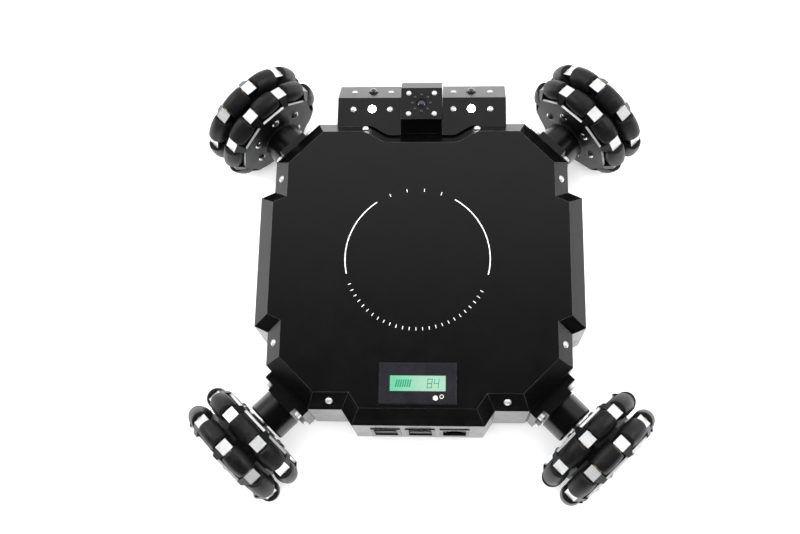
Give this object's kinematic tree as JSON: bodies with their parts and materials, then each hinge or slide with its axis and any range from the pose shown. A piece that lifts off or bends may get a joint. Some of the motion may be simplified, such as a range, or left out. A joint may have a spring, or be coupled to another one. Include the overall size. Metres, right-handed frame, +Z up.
{
  "type": "omni wheel robot chassis",
  "caption": "Low omnidirectional robot chassis with diagonal omni wheels at the corners, a chamfered black cover, front light bars and a tilting camera head.",
  "frame": {"origin": "on the ground, midway between the four wheels", "axes": "+X to the robot's right, +Y to its front, +Z up"},
  "size_m": [0.3734, 0.3732, 0.1055],
  "materials": {
    "black_housing": "satin black anodised, fine grain",
    "steel_fasteners": "bright zinc plated",
    "lamp_lens": "clear dome over a white light-emitting diode",
    "camera_glass": "coated dark glass in a black barrel",
    "ring_lamps": "dark clear diode domes",
    "servo_case": "dark moulded plastic",
    "meter_plastic": "semi-gloss black moulding",
    "lcd": "green backlit liquid crystal panel",
    "white_key": "white push key",
    "switch_plastic": "black moulded switch plastic",
    "battery_wrap": "blue shrink wrap",
    "circuit_board": "green solder mask",
    "gearbox_metal": "turned steel",
    "motor_can": "zinc plated steel can",
    "wheel_aluminium": "natural machined aluminium",
    "shaft_steel": "ground steel",
    "roller_rubber": "smooth black rubber"
  },
  "bodies": {
    "chassis": {"bar_lamps": "lamp_lens", "bar_screws": "steel_fasteners", "base_plate": "black_housing", "battery_pack": "battery_wrap", "bearing_housings": "black_housing", "body_screws": "steel_fasteners", "chassis_pan": "black_housing", "control_board": "circuit_board", "data_socket": "switch_plastic", "driver_boards": "circuit_board", "gearboxes": "gearbox_metal", "light_bar_left": "black_housing", "light_bar_right": "black_housing", "meter_bezel": "meter_plastic", "meter_lcd": "lcd", "motor_mounts": "black_housing", "motors": "motor_can", "mount_bolts": "steel_fasteners", "rocker_frames": "switch_plastic", "tilt_servo": "servo_case", "top_cover": "black_housing"},
    "camera": {"camera_head": "black_housing", "camera_lens": "camera_glass", "camera_lamp_ring": "ring_lamps", "camera_screws": "steel_fasteners"},
    "power_switch": {"power_rocker": "switch_plastic"},
    "light_switch": {"light_rocker": "switch_plastic"},
    "meter_key": {"meter_button": "white_key"},
    "front_right_wheel": {"front_right_drive_shaft": "shaft_steel", "front_right_inner_rim": "wheel_aluminium", "front_right_outer_rim": "wheel_aluminium", "front_right_wheel_bolts": "shaft_steel", "front_right_roller_pins": "shaft_steel", "front_right_rollers": "roller_rubber"},
    "front_right_roller_outer": {"front_right_ground_roller_outer": "roller_rubber"},
    "front_right_roller_inner": {"front_right_ground_roller_inner": "roller_rubber"},
    "front_left_wheel": {"front_left_drive_shaft": "shaft_steel", "front_left_inner_rim": "wheel_aluminium", "front_left_outer_rim": "wheel_aluminium", "front_left_wheel_bolts": "shaft_steel", "front_left_roller_pins": "shaft_steel", "front_left_rollers": "roller_rubber"},
    "front_left_roller_outer": {"front_left_ground_roller_outer": "roller_rubber"},
    "front_left_roller_inner": {"front_left_ground_roller_inner": "roller_rubber"},
    "rear_left_wheel": {"rear_left_drive_shaft": "shaft_steel", "rear_left_inner_rim": "wheel_aluminium", "rear_left_outer_rim": "wheel_aluminium", "rear_left_wheel_bolts": "shaft_steel", "rear_left_roller_pins": "shaft_steel", "rear_left_rollers": "roller_rubber"},
    "rear_left_roller_outer": {"rear_left_ground_roller_outer": "roller_rubber"},
    "rear_left_roller_inner": {"rear_left_ground_roller_inner": "roller_rubber"},
    "rear_right_wheel": {"rear_right_drive_shaft": "shaft_steel", "rear_right_inner_rim": "wheel_aluminium", "rear_right_outer_rim": "wheel_aluminium", "rear_right_wheel_bolts": "shaft_steel", "rear_right_roller_pins": "shaft_steel", "rear_right_rollers": "roller_rubber"},
    "rear_right_roller_outer": {"rear_right_ground_roller_outer": "roller_rubber"},
    "rear_right_roller_inner": {"rear_right_ground_roller_inner": "roller_rubber"}
  },
  "joints": [
    {"name": "camera_tilt", "type": "hinge", "parent": "chassis", "child": "camera", "pos_m": [0, 0.134, 0.0778], "axis": [-1, 0, 0], "range_deg": [0, 90]},
    {"name": "power_rocker_tilt", "type": "hinge", "parent": "chassis", "child": "power_switch", "pos_m": [-0.0262, -0.13, 0.059], "axis": [-1, 0, 0], "range_deg": [0, 9]},
    {"name": "light_rocker_tilt", "type": "hinge", "parent": "chassis", "child": "light_switch", "pos_m": [0.001, -0.13, 0.059], "axis": [-1, 0, 0], "range_deg": [0, 9]},
    {"name": "meter_button_press", "type": "slide", "parent": "chassis", "child": "meter_key", "axis": [0, 0, -1], "range_m": [0, 0.0005], "stiffness_N_per_m": 400},
    {"name": "front_right_wheel_spin", "type": "hinge", "parent": "chassis", "child": "front_right_wheel", "pos_m": [0.14178, 0.14178, 0.05], "axis": [0.7071, 0.7071, 0], "continuous": true},
    {"name": "front_right_roller_outer_spin", "type": "hinge", "parent": "front_right_wheel", "child": "front_right_roller_outer", "pos_m": [0.15164, 0.14605, 0.00894], "axis": [0.7039, -0.7039, 0.0958], "continuous": true},
    {"name": "front_right_roller_inner_spin", "type": "hinge", "parent": "front_right_wheel", "child": "front_right_roller_inner", "pos_m": [0.1274, 0.14201, 0.01006], "axis": [0.6846, -0.6846, -0.2504], "continuous": true},
    {"name": "front_left_wheel_spin", "type": "hinge", "parent": "chassis", "child": "front_left_wheel", "pos_m": [-0.14178, 0.14178, 0.05], "axis": [-0.7071, 0.7071, 0], "continuous": true},
    {"name": "front_left_roller_outer_spin", "type": "hinge", "parent": "front_left_wheel", "child": "front_left_roller_outer", "pos_m": [-0.15113, 0.14656, 0.00888], "axis": [0.7049, 0.7049, -0.0785], "continuous": true},
    {"name": "front_left_roller_inner_spin", "type": "hinge", "parent": "front_left_wheel", "child": "front_left_roller_inner", "pos_m": [-0.12691, 0.1425, 0.01025], "axis": [0.6814, 0.6814, 0.2672], "continuous": true},
    {"name": "rear_left_wheel_spin", "type": "hinge", "parent": "chassis", "child": "rear_left_wheel", "pos_m": [-0.14178, -0.14178, 0.05], "axis": [-0.7071, -0.7071, 0], "continuous": true},
    {"name": "rear_left_roller_outer_spin", "type": "hinge", "parent": "rear_left_wheel", "child": "rear_left_roller_outer", "pos_m": [-0.14986, -0.14783, 0.00878], "axis": [-0.7067, 0.7067, 0.0349], "continuous": true},
    {"name": "rear_left_roller_inner_spin", "type": "hinge", "parent": "rear_left_wheel", "child": "rear_left_roller_inner", "pos_m": [-0.12569, -0.14372, 0.01077], "axis": [-0.6725, 0.6725, -0.309], "continuous": true},
    {"name": "rear_right_wheel_spin", "type": "hinge", "parent": "chassis", "child": "rear_right_wheel", "pos_m": [0.14178, -0.14178, 0.05], "axis": [0.7071, -0.7071, 0], "continuous": true},
    {"name": "rear_right_roller_outer_spin", "type": "hinge", "parent": "rear_right_wheel", "child": "rear_right_roller_outer", "pos_m": [0.14428, -0.15341, 0.00926], "axis": [-0.6984, -0.6984, 0.1564], "continuous": true},
    {"name": "rear_right_roller_inner_spin", "type": "hinge", "parent": "rear_right_wheel", "child": "rear_right_roller_inner", "pos_m": [0.14027, -0.12914, 0.00951], "axis": [-0.6941, -0.6941, -0.1908], "continuous": true}
  ]
}
